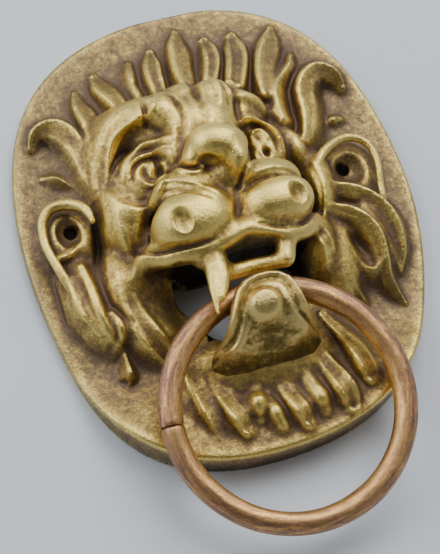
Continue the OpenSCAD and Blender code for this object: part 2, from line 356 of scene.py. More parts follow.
# Rounded masses: x, y and z of the centre, radii in x, y and z, turn about Z, blend, power
MASSES = [
    (1, 12, 1, 52, 45, 10, 0, 5, 2),                    # bed of the upper mane
    (0, -30, 1, 52, 42, 10, 0, 5, 2),                   # bed of the lower mane
    (1, 8, 3, 37, 34, 18, 0, 3, 2),                     # skull
    (1, 24.5, 12, 26, 15.5, 13, -3, 2, 2.4),            # forehead
    (-1, 31, 19, 6.5, 8, 8.5, 0, 3, 2.2),               # forehead, left swelling
    (8.8, 29, 20.5, 7.4, 8.6, 9, -5, 2, 2.3),           # forehead, middle swelling
    (-9.3, 28.2, 20.5, 6.4, 8.2, 9.2, 20, 1, 2.2),      # left brow swelling
    (1.5, 19, 22, 12.5, 12, 11, 0, 3, 2.3),             # bridge of the nose
    (-9, 12, 18, 8, 9, 12, -10, 3, 2.2),                # side of the nose
    (-29.5, -4, 6, 12, 19, 16.5, 10, 3, 2),             # left cheek
    (37.3, -8, 8, 6.5, 17, 12, -8, 3, 2),               # right cheek
    (-20.8, 7.5, 12.5, 12.5, 13, 10.5, 15, 1.5, 2.3),   # left eye and the bag under it
    (22.6, 9.5, 13.5, 7.5, 11, 9.5, -10, 1.5, 2.3),     # right eye
    (-34.5, -33, 2.5, 13, 24, 14.5, 16, 3.5, 2),        # left jowl
    (-27, -26, 12, 12, 9, 14, 25, 3, 2),                # left corner of the lip
    (-37.5, -24, 4, 6.5, 13, 13.4, 6, 4, 2),            # left corner of the muzzle
    (36, -32, 4, 10, 20, 13, -10, 3.5, 2),              # right jowl
    (2, -15, 20, 24, 12.5, 15.5, 3, 2.5, 2.4),          # muzzle, core
    (0, -23, 22, 26, 6.5, 12, 1, 2.5, 2.2),             # upper lip's body
    (-9.5, -4.6, 23.6, 13.5, 10, 14, 4, 2, 2.2),        # left muzzle, top
    (15, -6, 25, 14, 8, 12.5, -4, 2, 2.2),              # right muzzle, top
    (-12, -15.8, 28.8, 15, 11, 13.4, 4, 1.6, 2.4),      # left pad
    (16.8, -16.4, 29.4, 13.2, 8.8, 12.2, 2, 1.6, 2.4),  # right pad
    (3.6, -1, 25.5, 8, 9, 12, 0, 2, 2.3),               # under the nose
    (2.4, 7, 31, 11, 7.8, 14, -18, 0.9, 2.4),           # nose
    (6.8, 0.8, 31, 5.4, 8.2, 12.8, 14, 1.6, 2.2),       # nose, right wing
    (-6.6, 5.4, 28, 4.6, 6.8, 11, -20, 1.4, 2.2),       # nose, left wing
    (-50, -2.5, 3, 11, 13, 8.5, 0, 2.5, 2),             # left ear
    (50.5, -2.5, 3, 11, 13, 8.5, 0, 2.5, 2),            # right ear
    (-50, -26, 3, 6.5, 19, 9, 4, 3, 2),                 # left side mane
    (49, -24, 3.5, 9.5, 20, 9, -8, 3.5, 2),             # right side mane
    (0, -66, 3.5, 36, 20, 13, 0, 4, 2),                 # bed of the beard
    (1.5, -62, 6, 23, 12.5, 14.4, 0, 3, 2.2),           # chin
    (29.5, -28, 9, 7.5, 12, 15, -10, 2.5, 2.2),         # right corner of the mouth
    (-14, -22, 20, 19, 7, 13, 3, 2.5, 2.3),             # lip under the left pad
    (18, -22, 20, 12, 6, 11, -3, 2.5, 2.3),             # lip under the right pad
    (33.4, 9.3, 11.5, 4.4, 8, 7, 10, 2.5, 2),           # right temple
]

# Hollows pressed into the masses: x, y, height of the floor, radii in x, y and z, turn, blend
PRESSED = [
    (-50.3, -0.8, 6.8, 5.2, 7.2, 7, 0, 1.5),  # left ear's cup
    (51, -1.2, 6.8, 6.6, 7.4, 7, 0, 1.5),     # right ear's cup
    (-36.3, 25, 9.8, 2.2, 9, 4, -3, 1.2),     # between the first two locks
    (36.6, 26, 9.5, 3.2, 10, 5, 8, 1.5),      # between the last two locks
    (46, -31, 9.5, 3.4, 6.5, 6, 25, 1.5),     # inside the right side mane
]

# Deep channels: blend, then rows of x, y, z, radius
CHANNELS = [
    (1.0, [(-31, 13, 20.5, 1.8), (-29.6, 18, 22.5, 2.8), (-26, 21.6, 24, 3.3), (-21.5, 23, 26, 3.2),
        (-16.5, 21.8, 28.5, 2.4)]),
    (1.5, [(17, 23.6, 31.5, 2.8), (21, 24.2, 31.5, 3.2), (24.6, 21.8, 30.5, 3), (27.4, 18, 28.5, 2.8),
        (29.5, 12.6, 26, 2.2)]),
    (0.8, [(-7, 0.4, 38.6, 1.6), (-4.2, 0.6, 39.4, 2.8), (-1.4, -1.8, 40.4, 3), (0.4, -5, 41, 2.6),
        (1.6, -9, 41, 1.6)]),
]

# Locks of hair, back to front: blend, form, then rows of x, y, height, half-width
LOCKS = [
    # upper mane
    (2.2, "right", [(-33.3, 51, 6.5, 1.4), (-33.4, 45.5, 9.5, 3.4), (-32.2, 40, 12, 4.6),
        (-31.8, 34, 13.5, 4.8), (-32.6, 27, 14.5, 4.6), (-34, 21, 14.5, 4), (-36, 15, 14, 2.8),
        (-37.4, 11.5, 13.5, 1.6)]),
    (2.2, "left", [(-53.4, 34.5, 6.5, 1.6), (-50.5, 38.5, 9.5, 3), (-45.5, 38.6, 11.5, 4.4),
        (-41.5, 35, 12.5, 4.8), (-39.4, 30, 13, 4.2), (-38.8, 24, 13.5, 3.2), (-38.6, 17, 14, 2.4),
        (-37.6, 11.5, 14, 1.5)]),
    (2.2, "right", [(-25, 55.4, 6.5, 2.2), (-24.2, 50.5, 10, 4.2), (-22.4, 45, 13.5, 4.4),
        (-20.6, 39, 15.5, 4), (-19.4, 35, 17, 3.6)]),
    (2.0, "round", [(-12, 57, 7, 2), (-12.9, 53, 9.5, 2.4), (-13.4, 49.5, 11, 1.8)]),
    (2.0, "ridge", [(-13.2, 52, 9.5, 1.6), (-13.8, 46.5, 12.5, 1.9), (-13.2, 39, 15.5, 2)]),
    (2.1, "both", [(-3.4, 60, 6.5, 2), (-4.6, 54.5, 10.5, 3.9), (-5.6, 49, 13, 3.9), (-6.2, 41, 16, 3.2)]),
    (2.1, "right", [(7.6, 65.6, 6.5, 1.6), (6.4, 60.5, 9.5, 4), (5.6, 54.8, 12, 4.8), (4.4, 49, 14.5, 4.4),
        (3.6, 41.5, 18, 3.4)]),
    (2.0, "both", [(16.5, 60, 6.5, 2.2), (16.8, 55, 10.5, 3.6), (15.6, 48.8, 13.5, 3.6),
        (12, 40.5, 17.5, 3)]),
    (2.1, "both", [(26.5, 59.4, 6.5, 2.6), (26, 54, 10, 4.9), (24.8, 48.5, 12.5, 5.2),
        (22.4, 42.5, 15.5, 4.8), (20, 37, 18, 4.2)]),
    (2.1, "right", [(41, 59.4, 6.5, 1.4), (39.4, 55, 9, 4), (36.8, 50, 11.5, 5), (34, 44.5, 13.5, 4.8),
        (31.6, 38.5, 16, 4.2), (29.6, 31, 18.5, 3)]),
    (2.0, "ridge", [(44.5, 47, 8, 1.4), (42.3, 42.6, 10.5, 2.4), (38.6, 38.8, 12.5, 2.8),
        (35.2, 35.2, 14.5, 2.8), (33, 30.5, 16.5, 2.8), (32, 25, 17.5, 2.6), (32.5, 19.5, 18, 2)]),
    (2.0, "right", [(58.5, 31, 7.5, 1.8), (56.8, 35.4, 10, 3), (52, 38, 11.5, 3.8),
        (47.4, 35.8, 12.5, 4.2), (44.4, 31, 13.5, 4.4), (43.4, 25, 14.5, 4), (42, 19, 15.5, 3.4),
        (39.8, 14, 16.5, 2.6), (37.4, 10.5, 17.5, 1.6)]),
    (2.0, "round", [(49.2, 18.2, 6, 1.4), (51.6, 19.3, 8, 2.2), (54.6, 19.5, 6.5, 1.4)]),
    (2.0, "ridge", [(-52.6, 22.4, 6, 1.4), (-49.5, 21.2, 8.4, 2.4), (-46.6, 19, 8.4, 2.4),
        (-44.4, 16.6, 7, 1.4)]),
    # left side mane
    (2.4, "right", [(-54.6, -18, 12.5, 2), (-54.2, -23, 13.6, 2.2), (-53.8, -29, 13.8, 2),
        (-52.8, -33, 13.2, 1.6), (-51.3, -37, 12, 1.3), (-50, -40.2, 10.8, 1), (-49, -42.4, 8.8, 0.7)]),
    (2.4, "round", [(-49.8, -15, 13, 2), (-49.3, -22.4, 15.2, 2.6), (-49.3, -27, 16.4, 2.8),
        (-49, -32, 16.8, 2.8), (-48, -37, 16, 2.6), (-46.8, -41, 14.2, 2.1), (-45.6, -44.4, 10.8, 1.4)]),
    (2.6, "round", [(-44.8, -34.6, 14.8, 1.3), (-43.8, -37.6, 15.8, 1.8), (-43.1, -40.2, 15.8, 2),
        (-43.3, -42.6, 14.6, 1.7), (-44.5, -44.8, 11.5, 1.1)]),
    (2.0, "ridge", [(-41.2, -38.6, 12.5, 1), (-40.3, -40.8, 13, 1.3), (-41.4, -43, 11, 0.9)]),
    (1.5, "round", [(-43.4, -46, 8.2, 0.8), (-43.7, -50, 10, 1.1), (-44, -53.8, 11.6, 1.4),
        (-44.1, -56.2, 11.2, 1.4), (-44.6, -58, 8, 0.9)]),
    # right side mane
    (2.1, "left", [(40, -8.5, 17, 2.4), (46.2, -10.6, 16.5, 3), (51.4, -13.4, 15.5, 3.4),
        (56, -18, 14.5, 3.4), (58.6, -23, 13.5, 3), (59.4, -28.5, 12, 2.8), (59, -34.5, 10, 2.4),
        (57.4, -40, 7, 1.4)]),
    (2.0, "ridge", [(50, -17.5, 14, 2.2), (53, -22.5, 13.5, 2.6), (55, -28.5, 12.5, 2.6),
        (56, -34.5, 10.5, 2), (56.8, -40, 7.5, 1.2)]),
    (2.1, "left", [(38.6, -17, 18, 2.4), (44.2, -19.4, 17.5, 3), (48.6, -23.8, 17, 3.4),
        (50.8, -29, 16, 3.4), (51.2, -35.5, 14, 3), (51, -42, 11.5, 2.6), (52.4, -47, 9, 2.2),
        (55.2, -52.8, 6, 1)]),
    (1.9, "ridge", [(50.8, -37.5, 12, 1.6), (47.6, -39.8, 12, 2), (44.2, -38.6, 12.5, 2),
        (41.8, -34.5, 13.5, 1.8), (40, -29.5, 14, 1.4)]),
    (2.0, "ridge", [(36.6, -36, 14.5, 1.6), (38.2, -42.5, 12.5, 2), (41.2, -48.6, 9, 1)]),
    # beard
    (3.0, "right", [(25.5, -51, 10, 2.2), (28.6, -59, 13.5, 3.2), (31.2, -67, 17.2, 3.9),
        (32.6, -74, 18, 3.9), (33.2, -78, 15.5, 3.2)]),
    (3.0, "both", [(18, -64, 12.5, 3), (20.4, -71, 16, 4), (22.4, -78, 19.2, 4.5), (23.8, -83, 18.4, 4.2),
        (24.4, -86.5, 14.6, 3.2)]),
    (2.8, "round", [(11.4, -70, 14, 2.6), (12.8, -76, 17.4, 3.2), (14.2, -81.6, 18.8, 3.5),
        (14.8, -85.2, 15.8, 2.8)]),
    (2.8, "right", [(2.6, -71, 13.5, 2.8), (4.6, -78, 17.8, 3.6), (6.6, -84, 19.6, 3.9),
        (7.8, -88, 16.4, 3.1)]),
    (2.6, "round", [(-3, -76, 15, 2.2), (-2.1, -82, 18.4, 3), (-0.8, -86.8, 16.6, 2.8)]),
    (2.6, "round", [(-5.8, -73, 15.5, 2.6), (-6.6, -77, 19.6, 3.4), (-7, -80.6, 18.6, 3.2),
        (-7.2, -83, 15.5, 2.2)]),
    (3.0, "right", [(-18.6, -66, 13, 2.8), (-16.6, -74, 17.2, 3.8), (-14.4, -81, 19.2, 4.2),
        (-13, -85.6, 16.4, 3.2)]),
    (3.0, "right", [(-25.4, -57, 10.5, 2.6), (-24.8, -65, 14.5, 3.4), (-23.6, -74, 17.2, 3.7),
        (-22.4, -80.6, 15.8, 3.1), (-21.8, -85, 11.5, 2)]),
    # left brow's hood
    (2.4, "hood", [(-36.6, 9, 15, 2.2), (-34.6, 15.5, 17.5, 3.2), (-32.2, 21, 20, 4.2),
        (-29.4, 25.6, 22.5, 4.6), (-25.4, 29.2, 25, 4.8), (-20.6, 31, 27, 4.8), (-15.6, 31, 28.5, 4.4)]),
]

# Free rods: blend, then rows of x, y, height of the crest, radius
RODS = [
    # ears
    (0.8, [(-41.5, -1.5, 17.5, 1.5), (-43.4, 4.2, 16.5, 1.8), (-46.6, 7.3, 15.2, 2), (-50.6, 8.7, 14.2, 2),
        (-54.6, 8.3, 13.4, 1.9), (-57.4, 5.5, 13, 1.8), (-58.8, 1.7, 12.6, 1.6), (-59.2, -3.6, 12.6, 1.5),
        (-58.5, -8.7, 12.8, 1.5), (-57.2, -13.8, 13, 1.7), (-56, -18.5, 12.6, 1.7), (-54.8, -23, 11, 1.4),
        (-54, -29, 8, 0.8)]),
    (0.8, [(37.9, -0.4, 19.5, 1.6), (41.1, 3.4, 18.4, 1.7), (44.8, 6.2, 17, 1.7), (49.6, 8.6, 15.4, 1.6),
        (54.1, 8.8, 14.4, 1.5), (57.8, 7, 13.6, 1.4), (60, 3.6, 13.2, 1.3), (60.6, -1, 13.2, 1.3),
        (60, -5.5, 13.2, 1.2), (59.3, -9.4, 12.6, 1.2), (58.6, -14.9, 12, 1.2), (58.4, -19, 10, 0.8)]),
    (0.8, [(-57.5, -9, 10.5, 1.4), (-54, -9, 11.5, 1.6), (-51, -7.6, 11, 1.4), (-48.6, -5.4, 9.5, 1)]),
]

# Lines drawn on the surface: kind, then rows of x, y, lift (down if negative), half-width
STROKES = [
    # forehead's valleys
    ("round", [(3.4, 38, -0.6, 2.4), (3, 31, -1, 2.4), (2.6, 25, -0.8, 2.4), (2.6, 20, -0.4, 2.4)]),
    ("round", [(-4.6, 33, -0.4, 1.8), (-4.4, 27, -0.8, 2.2), (-5.4, 20, -1, 2.4), (-8.4, 13.5, -1, 2.4),
        (-10, 8, -0.8, 2.2)]),
    ("round", [(16.8, 34, -0.6, 2), (16.8, 29, -1.2, 2.2), (15.8, 22, -1.2, 2.4), (16.6, 13, -0.9, 2.2),
        (15.8, 5, -0.7, 2)]),
    ("round", [(10.4, 36, 0.6, 1.6), (10.8, 30, 0.8, 1.8), (10, 25, 0.5, 1.6)]),
    ("round", [(12.8, 34, -0.6, 1.2), (13.4, 29, -0.8, 1.3), (12.6, 24.5, -0.5, 1.2)]),
    ("crest", [(13, 39, 0.4, 1.6), (17.5, 37.8, 0.9, 2), (21, 34.8, 0.6, 1.6)]),
    # left brow: crest of the hood, crease, edge of the swelling
    ("crest", [(-33.4, 11, 0.5, 1.4), (-32.4, 15.6, 0.9, 1.5), (-30.8, 19.6, 1, 1.5),
        (-28.4, 23.4, 1, 1.5), (-25, 25.6, 0.9, 1.5), (-21, 26.4, 0.7, 1.4), (-17, 25.8, 0.4, 1.2)]),
    ("round", [(-15.6, 34.5, -0.6, 1.3), (-15.8, 30, -1.5, 1.6), (-16.4, 25.5, -1.2, 1.5)]),
    ("crest", [(-14.8, 36, 0.5, 1.4), (-10, 37, 0.8, 1.6), (-5.6, 34.6, 0.8, 1.6), (-3.4, 30, 0.9, 1.6),
        (-3.2, 25, 0.6, 1.4)]),
    ("round", [(-12.8, 33, 0.6, 1.5), (-13, 29, 0.7, 1.6), (-12.8, 26, 0.4, 1.3)]),
    # left eye: folds, lid, spiral, ball
    ("round", [(-29, 9, 0.5, 1.6), (-27.2, 13.6, 1, 2), (-24.2, 17.4, 1.2, 2.2), (-19.6, 19.4, 1.2, 2.2),
        (-14.6, 19, 0.9, 2), (-10.4, 17, 0.4, 1.6)]),
    ("crest", [(-26.8, 8.4, 0.5, 1.1), (-25.8, 12, 1.1, 1.4), (-23.2, 14.8, 1.2, 1.5),
        (-19.2, 15.8, 1.2, 1.5), (-15, 15, 1, 1.4), (-11.4, 13.4, 0.5, 1.1)]),
    ("round", [(-26, 7.4, -0.7, 1.2), (-25, 11, -1.2, 1.4), (-22, 13.4, -1.3, 1.4), (-18, 13.6, -1.2, 1.4),
        (-14.6, 11.4, -1.1, 1.5), (-13.2, 8, -0.8, 1.4)]),
    ("round", [(-21, 12.4, 0.4, 1.3), (-23.6, 10.4, 1.1, 1.5), (-24.2, 7.4, 1.2, 1.5),
        (-22.4, 4.4, 1.2, 1.5), (-19.2, 3.4, 1, 1.5), (-16.2, 4.6, 0.8, 1.4), (-15, 7, 0.4, 1.2)]),
    ("round", [(-18.4, 12.6, 0.8, 1.7), (-18.8, 9.6, 1.7, 2.1), (-19.4, 6.8, 0.8, 1.6)]),
    ("round", [(-21, 11.2, -0.5, 0.9), (-21.6, 8.2, -0.9, 1), (-20.6, 5.8, -0.6, 0.9)]),
    ("round", [(-16.2, 11, -0.5, 0.9), (-16, 8.4, -0.7, 1), (-17, 6.2, -0.5, 0.9)]),
    # bag under the left eye
    ("fold_right", [(-34.8, 6, 0.5, 4), (-32.8, 0.4, 1, 5), (-28.2, -3.2, 1.3, 5.5), (-23.2, -3.2, 1.2, 5),
        (-18.6, -0.8, 0.6, 4)]),
    ("round", [(-31, 3, -0.3, 1), (-27.6, 0.4, -0.4, 1.1), (-23.4, 0, -0.4, 1)]),
    ("round", [(-24, -7, 0.8, 2), (-20.6, -2.4, 1, 2.2), (-18.6, 0.8, 0.6, 1.8)]),
    # right brow and eye
    ("round", [(13.6, 28.6, 0.5, 3), (18, 29.8, 1.2, 3.6), (22, 29.2, 1.4, 3.6), (25.6, 27, 1.4, 3.6),
        (28.4, 23.4, 1.3, 3.4), (30.4, 19, 1, 3), (32.2, 14.6, 0.5, 2.6)]),
    ("crest", [(14.4, 18.6, 0.6, 1.3), (17.6, 20.4, 1.2, 1.5), (21, 20, 1.3, 1.5), (24, 17.8, 1.3, 1.5),
        (26.2, 14.4, 1.3, 1.5), (27.6, 10.4, 1.2, 1.4), (28.2, 6.4, 0.5, 1.2)]),
    ("round", [(15.6, 16.4, -1, 1.6), (18.6, 18.2, -1.5, 1.9), (21.8, 17.4, -1.5, 1.9),
        (24.2, 14.6, -1.5, 1.9), (25.6, 10.6, -1.3, 1.7), (25.8, 6.6, -0.7, 1.4)]),
    ("crest", [(17.4, 11, 0.6, 1), (18.4, 14.2, 1.1, 1.2), (20.6, 15.6, 1.2, 1.2), (22.6, 14.2, 1.1, 1.2),
        (23.6, 11, 0.9, 1.1)]),
    ("crest", [(17.2, 7.8, 0.5, 1), (17.8, 4.8, 1, 1.2), (20, 3.2, 1.1, 1.2), (22.4, 3.8, 0.9, 1.1)]),
    ("round", [(20, 12.4, -0.6, 1.4), (20.6, 9, -0.4, 1.4), (21.4, 6.8, -2.4, 1.7), (21.5, 6.2, -2, 1.6)]),
    ("round", [(22.6, 2.4, 0.5, 1.4), (24.6, 1.6, 0.8, 1.6), (27, 0.4, 0.5, 1.4)]),
    # nose: edge over the recess, nostril
    ("round", [(-11, 4.4, -1, 1.2), (-9.4, 2, -1.4, 1.4), (-6.8, 1.2, -1, 1.2)]),
    ("round", [(-12.8, 3.6, 0.6, 1.2), (-11.6, 1, 1.1, 1.4), (-9.2, -0.9, 1.2, 1.4), (-6.2, -1, 1.1, 1.3),
        (-4.4, 0.8, 0.7, 1.1)]),
    ("round", [(12.6, 5, -0.5, 1.2), (11.8, 0.6, -1, 1.5), (8, -4.6, -1.2, 1.6), (5.4, -8.6, -1, 1.4)]),
    # folds over the pads
    ("fold_left", [(-23.4, -1.6, 0.3, 3), (-18, -0.8, 0.7, 3.4), (-12.6, -3.4, 0.8, 3.4),
        (-7.4, -6.6, 0.7, 3), (-3, -11, 0.4, 2.4)]),
    ("round", [(-22.8, -7, -0.4, 1.2), (-17, -7.2, -0.6, 1.2), (-11, -9, -0.6, 1.2),
        (-6, -12.6, -0.4, 1.1)]),
    ("round", [(-19, -4.4, -0.3, 0.9), (-14, -6, -0.4, 0.9), (-9.4, -8.6, -0.3, 0.9)]),
    ("fold_left", [(5.6, -8, 0.3, 2.6), (10, -6.4, 0.7, 3), (16.8, -5.6, 0.7, 3), (24, -6.8, 0.6, 2.8),
        (29, -9.6, 0.3, 2.4)]),
    ("round", [(6.4, -10.6, -0.4, 1), (12, -8.8, -0.6, 1.1), (18, -8.6, -0.5, 1.1), (24, -9.8, -0.3, 1)]),
    # between the pads
    ("round", [(4.2, -8.8, -0.5, 1.6), (3.8, -12, -0.9, 2), (2.8, -16, -1.2, 2.2), (1.4, -20, -1, 2.2),
        (0.8, -23, -0.5, 2)]),
    # left cheek: flat, valley, edge
    ("round", [(-22, -6, -0.8, 3), (-26, -9.6, -1.4, 3.4), (-29.6, -14.6, -1, 3)]),
    ("crest", [(-34.6, -2, 0.6, 2.4), (-34.8, -8, 0.9, 2.6), (-34.2, -14, 0.8, 2.6),
        (-33, -20, 0.4, 2.2)]),
    # face's outline beside the left ear and mane
    ("round", [(-39, 6, -0.8, 2), (-40.4, -2, -1.6, 2.4), (-42.2, -10, -1.6, 2.4), (-43.8, -18, -0.9, 2.2),
        (-44.4, -24.5, -0.5, 1.8), (-43.8, -31, -0.5, 1.5), (-41.8, -35.6, -0.6, 1.4),
        (-38.8, -39.8, -0.6, 1.3)]),
    ("round", [(-51.4, -20, -0.5, 0.9), (-51.2, -28, -0.9, 1), (-50.6, -34, -0.8, 1),
        (-49.2, -38.5, -0.4, 0.8)]),
    # jowls' folds and the sharp edge at the lower left
    ("fold_right", [(-39.6, -42, 0.8, 3), (-36.3, -48.5, 1.8, 4), (-31.9, -54.5, 1.8, 4),
        (-28, -59, 0.8, 3)]),
    ("round", [(-40.4, -29, 0.4, 1.8), (-39.6, -37, 0.9, 2), (-37.8, -43.4, 0.9, 1.8),
        (-35.2, -48, 0.4, 1.4)]),
    ("round", [(-35.8, -32, 0.5, 2), (-33.6, -39, 1, 2.4), (-31, -45.6, 1, 2.2),
        (-28.6, -50.5, 0.5, 1.8)]),
    # right: band behind the pad, creases under it
    ("fold_left", [(36.6, 0.4, 0.5, 3), (37.4, -7, 1.1, 3.4), (36.2, -15, 1.1, 3.2),
        (33, -22.6, 0.5, 2.6)]),
    ("round", [(33.4, -2, -0.5, 1.4), (33.6, -9, -1, 1.6), (32.4, -16, -0.9, 1.5)]),
    ("crest", [(31, -24.6, 0.5, 1.2), (32.8, -28.6, 0.9, 1.4), (33.8, -33.4, 0.5, 1.2)]),
    ("round", [(28.4, -27.4, 0.4, 1.2), (29.4, -31.4, 0.7, 1.3), (29.6, -35.6, 0.4, 1.1)]),
    # eyes of the ears
    ("fold_right", [(-55.4, -9.6, 0.4, 2.4), (-52.6, -9.4, 0.9, 2.6), (-50, -8, 0.9, 2.4),
        (-48, -5.6, 0.4, 2)]),
]

# Whisker dimples: x, y, radii in x and y of the ball that presses them in, turn, depth
DIMPLES = [
    (-18.2, -18.8, 3.84, 5.7, 8, 2.4),
    (23.9, -18, 3.84, 5.55, 14, 2.2),
]
DIMPLE_RZ = 4

# Outline of the way through the mouth
MOUTH = [
    (-22, -28), (-17, -30.2), (-11, -30.4), (-4, -29), (3, -27), (10, -28), (16, -30), (19.6, -31),
    (20.6, -34), (20, -41), (18, -48), (14, -54), (-10, -54), (-14, -49), (-18, -42), (-21.4, -36),
]

# The pockets inside the cheeks: centre, radii, turn
POCKETS = [
    ((-26.5, -34.5, 25), (10, 11.5, 10.8), 30),
    ((-18, -36, 24), (10, 7.5, 13), 0),
    ((2, -37, 26), (17.5, 9, 14), 0),
    ((19.5, -37, 22), (4, 7, 12), -8),
]

# Lips, over the pockets: blend, then rows of x, y, height of the crest, radius
LIPS = [
    (3.0, [(-31, -21.4, 19.5, 1), (-28, -22.9, 24, 1.9), (-23.4, -25, 28.6, 2.4),
        (-18.1, -26.7, 32.4, 2.5), (-13.9, -27.5, 34.6, 2.5), (-9.5, -27.6, 36.1, 2.4),
        (-5.5, -27, 37.1, 2.4), (-1.5, -25.7, 38, 2.3), (1.6, -24.7, 38.4, 2.2), (4.1, -24.4, 38.4, 2.2),
        (8.2, -25.9, 37.6, 2.3), (12.8, -27.8, 36.2, 2.4), (17.7, -28.3, 34.4, 2.5),
        (22.5, -27.9, 32, 2.4), (26.5, -26, 29, 2.1), (30.2, -23, 25, 1.6)]),
    (3.5, [(-28, -21.8, 22, 2.4), (-20, -24, 30, 3.3), (-12, -25.2, 34, 3.5), (-4, -24.2, 35.8, 3.4),
        (3, -22.6, 36.4, 3.3), (9, -24, 35.4, 3.3), (17, -25.6, 33, 3.2), (24, -24.6, 28.6, 2.8),
        (29, -21.4, 23.4, 2.2)]),
]

# Creases between the pads and the lip: rows as for the lines drawn on the surface
LIP_LINES = [
    ("round", [(-30.8, -8, -0.4, 1.6), (-31.8, -14, -0.5, 1.8), (-30.4, -19.2, -0.6, 1.6),
        (-26.4, -22.6, -0.8, 1.2), (-20.6, -24.6, -0.9, 1.1), (-14.6, -25.8, -0.8, 1.1),
        (-8.8, -25.8, -0.6, 1)]),
    ("round", [(7.4, -24.2, -0.5, 1), (13, -26, -0.7, 1.1), (19, -26.4, -0.8, 1.1), (25, -24.4, -0.7, 1.2),
        (29.6, -19.6, -0.6, 1.3), (31.4, -13, -0.4, 1.3)]),
]

# Upper teeth and the bridge between them, added last: blend, then rows of x, y, z, radius
TEETH = [
    (1.6, [(-9.4, -29, 30.5, 4), (-10.9, -34.4, 32.2, 3.2), (-12.2, -37.8, 33.8, 2.4),
        (-13.2, -41, 34.8, 1.8), (-13.8, -44, 35.2, 1.4), (-14.3, -47.6, 35.4, 1),
        (-14.7, -51, 35.6, 0.55)]),
    (1.8, [(-12.6, -29, 29.5, 3.6), (-8.6, -32, 30, 3.4), (-7.8, -35, 30.6, 2.6)]),
    (3.0, [(-9, -31, 32, 2.6), (-8.8, -35.5, 33.6, 2.3), (-8.8, -38.5, 34.2, 2), (-9.8, -42, 34.6, 1.5),
        (-11.4, -45.6, 35, 1)]),
    (1.8, [(17, -26, 29.5, 4.4), (15.8, -30, 30.2, 3.7), (14.8, -33.4, 30.4, 3.3), (14, -36, 31, 2.5)]),
    (2.4, [(-10, -36, 31, 2.5), (-6.2, -35.8, 29.4, 2.8), (-2.8, -35.4, 28.4, 2.8), (1.2, -35, 27.8, 2.8),
        (5.1, -35, 27.8, 2.8), (8.7, -35.3, 28.3, 2.7), (11.9, -35.8, 29.6, 2.5), (14, -36, 30.7, 2.4)]),
]


def outline(a):
    """Radius of the plate at angle a from the top of the head."""
    return (78.1 + 2.8 * np.cos(a) + 8.6 * np.cos(2 * a) - 1.6 * np.cos(4 * a) - 0.8 * np.cos(6 * a)
            + 2.0 * np.sin(a) + 1.3 * np.sin(2 * a) - 0.5 * np.sin(3 * a) + 0.6 * np.sin(4 * a))


def plate_z(y):
    return EDGE_H + (STRIKE_H - EDGE_H) * ease((SWEEP_Y - y) / SWEEP_H)


def plate_fields(clay):
    """How far each column lies outside the plate's outline, and each cell above its top. Both
    fields run a little steeper than distance, so they are scaled down."""
    x, y, z = clay.grid()
    away = np.hypot(x, y - MID_Y)
    edge = (away - outline(np.arctan2(x, y - MID_Y)))[:, :, None] * 0.97
    top = (z - plate_z(y)[:, :, None]) * 0.96
    return edge, top


def add_relief(clay):
    for x, y, z, rx, ry, rz, turn, blend, power in MASSES:
        clay.add(ball((x, y, z), (rx, ry, rz), turn, power), blend)
    for x, y, floor, rx, ry, rz, turn, blend in PRESSED:
        clay.cut(ball((x, y, floor + rz), (rx, ry, rz), turn), blend)
    for blend, form, rows in LOCKS:
        clay.leaf(blend, form, rows)
    for blend, rows in CHANNELS:
        clay.cut(strand(rows), blend)
    for blend, rows in RODS:
        clay.add(rod(rows), blend)
    for kind, rows in STROKES:
        clay.emboss(kind, rows)
    for x, y, rx, ry, turn, depth in DIMPLES:
        z = clay.height(x, y) - depth + DIMPLE_RZ
        clay.cut(ball((x, y, z), (rx, ry, DIMPLE_RZ), turn), 0.6)


def add_mouth(clay):
    for centre, radii, turn in POCKETS:
        clay.cut(ball(centre, radii, turn, 2.2), 6)
    for blend, rows in LIPS:
        clay.add(rod(rows), blend)
    for kind, rows in LIP_LINES:
        clay.emboss(kind, rows)


def make_mask_clay():
    clay = Clay(MASK_LOW, MASK_HIGH, MASK_PITCH)
    x, y, z = clay.grid()
    edge, top = plate_fields(clay)
    clay.d = -smooth_min(-edge, -top, 1.6).astype(np.float32)
    add_relief(clay)
    add_mouth(clay)
    clay.d = np.maximum(clay.d, edge)
    # the hollow back follows the front at a wall's thickness, behind a flat rim
    clay.bore(np.maximum(clay.d + WALL, edge + BACK_RIM), 1.0)
    clay.bore(polygon_distance(MOUTH, x, y)[:, :, None], 1.2)
    for blend, rows in TEETH:
        clay.add(strand(rows), blend)
    for side in (-SCREW_X, SCREW_X):
        clay.bore(np.hypot(x - side, y)[:, :, None] - SCREW_R, 0.5)
    clay.d = np.maximum(clay.d, -z).astype(np.float32)
    return clay


# ---------------------------------------------------------------- the jaw's shape

JAW_LOW, JAW_HIGH = (-19, -76, 9), (22, -36, 43)
# Its outline seen from the front
JAW = [
    (5.7, -39.6), (1, -39.8), (-3, -41.2), (-6.8, -44.3), (-9.6, -49.4), (-11.2, -53.5),
    (-13.4, -56.8), (-17.4, -59.4), (-18.2, -63.2), (-14.6, -66.8), (-7.4, -69.4), (2.1, -70.4),
    (9.6, -69.2), (16.8, -66.4), (20.6, -62), (19, -58), (15.6, -54.4), (14.2, -47.3),
    (12.6, -43.6), (9.6, -40.8),
]
# Heights of its front and of its back: rows of y, z
JAW_FRONT = [
    (-71, 17.6), (-68, 20.4), (-65, 24.4), (-61, 30), (-57, 34), (-52, 36.2), (-46, 36.5),
    (-40, 35), (-36, 33),
]
JAW_BACK = [(-58.5, 9), (-57.5, 20), (-56.5, 26), (-54.5, 30), (-51, 32), (-36, 32)]
SEAT_Z, BRIM_Z = 11.5, 17.5
BOSS, BOSS_R, BOSS_LIFT = (1.2, -52.2), 3.6, 3.4


def bell(x, middle, width):
    return np.exp(-(((x - middle) / width) ** 2))


